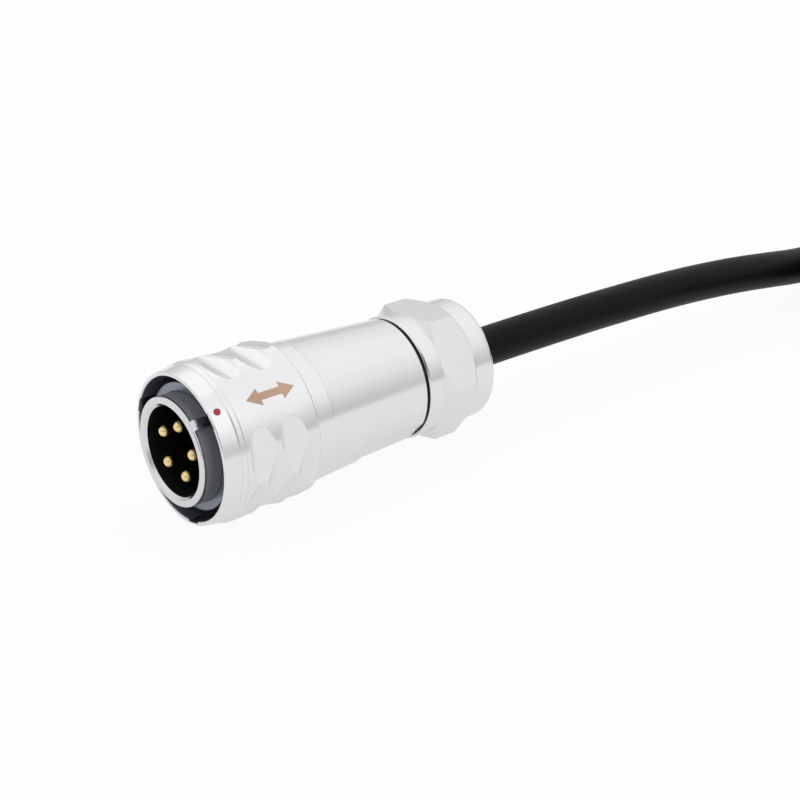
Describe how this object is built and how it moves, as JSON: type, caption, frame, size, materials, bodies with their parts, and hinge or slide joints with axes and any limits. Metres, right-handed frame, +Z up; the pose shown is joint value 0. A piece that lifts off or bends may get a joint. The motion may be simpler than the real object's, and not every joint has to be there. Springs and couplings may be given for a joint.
{
  "type": "push pull circular connector",
  "caption": "Round metal cable plug with gold pins in a keyed nose, a scooped pull-back locking sleeve, a hexagonal clamping nut and a coiled black cable.",
  "frame": {"origin": "on the surface it lies on, under the middle of the plug's length, on the plug's axis", "axes": "+Z up, the mating face looks towards -Y and the cable leaves the nut towards +Y"},
  "size_m": [0.0931, 0.2425, 0.0291],
  "materials": {
    "nickel_plate": "satin bright nickel plating over turned brass",
    "dark_plate": "dark satin plating inside the mouth",
    "bare_metal": "plain turned and plated metal",
    "spring_metal": "spring temper metal, fine drawn",
    "insulator_plastic": "moulded black insulator, slight sheen",
    "gold_plate": "polished gold plating",
    "arrow_fill": "flat copper-coloured mark",
    "dot_enamel": "glossy red enamel",
    "seal_rubber": "matt sealing rubber",
    "collet_plastic": "moulded nylon",
    "jacket_rubber": "matt black extruded jacket",
    "tie_fabric": "black hook-and-loop strap",
    "core_black": "extruded core insulation",
    "core_blue": "extruded core insulation",
    "core_brown": "extruded core insulation",
    "core_grey": "extruded core insulation",
    "core_yellow": "extruded core insulation"
  },
  "bodies": {
    "plug_body": {"front_shell": "nickel_plate", "insulator": "insulator_plastic", "contact_pin_1": "gold_plate", "contact_pin_2": "gold_plate", "contact_pin_3": "gold_plate", "contact_pin_4": "gold_plate", "contact_pin_5": "gold_plate", "insert_ring": "bare_metal", "latch_collet": "spring_metal", "sleeve_spring": "spring_metal", "rear_body": "nickel_plate", "shell_seal": "seal_rubber", "nut_seal": "seal_rubber", "grommet": "seal_rubber", "clamp_collet": "collet_plastic", "core_1": "core_black", "core_2": "core_blue", "core_3": "core_brown", "core_4": "core_grey", "core_5": "core_yellow", "cable": "jacket_rubber", "cable_coil": "jacket_rubber", "coil_tie_1": "tie_fabric", "coil_tie_2": "tie_fabric", "core_end_1": "core_black", "core_end_2": "core_blue", "core_end_3": "core_brown", "core_end_4": "core_grey", "core_end_5": "core_yellow"},
    "locking_sleeve": {"coupling_sleeve": "nickel_plate", "release_tube": "dark_plate", "arrow_mark": "arrow_fill", "index_dot": "dot_enamel"},
    "clamp_washer": {"thrust_washer": "bare_metal"},
    "nut": {"clamp_nut": "nickel_plate"}
  },
  "joints": [
    {"name": "sleeve_pull", "type": "slide", "parent": "plug_body", "child": "locking_sleeve", "axis": [0, 1, 0], "range_m": [0, 0.0024], "stiffness_N_per_m": 2500, "springref_m": -0.002, "deforming": ["sleeve_spring", "latch_collet"]},
    {"name": "nut_advance", "type": "slide", "parent": "plug_body", "child": "clamp_washer", "axis": [0, 1, 0], "range_m": [0, 0.007]},
    {"name": "nut_turn", "type": "hinge", "parent": "clamp_washer", "child": "nut", "pos_m": [0, 0.02202, 0.01447], "axis": [0, 1, 0], "range_deg": [0, 2530]}
  ],
  "couplings": [
    {"joint": "nut_turn", "follows": "nut_advance", "rad_per_m": 6283.2}
  ]
}
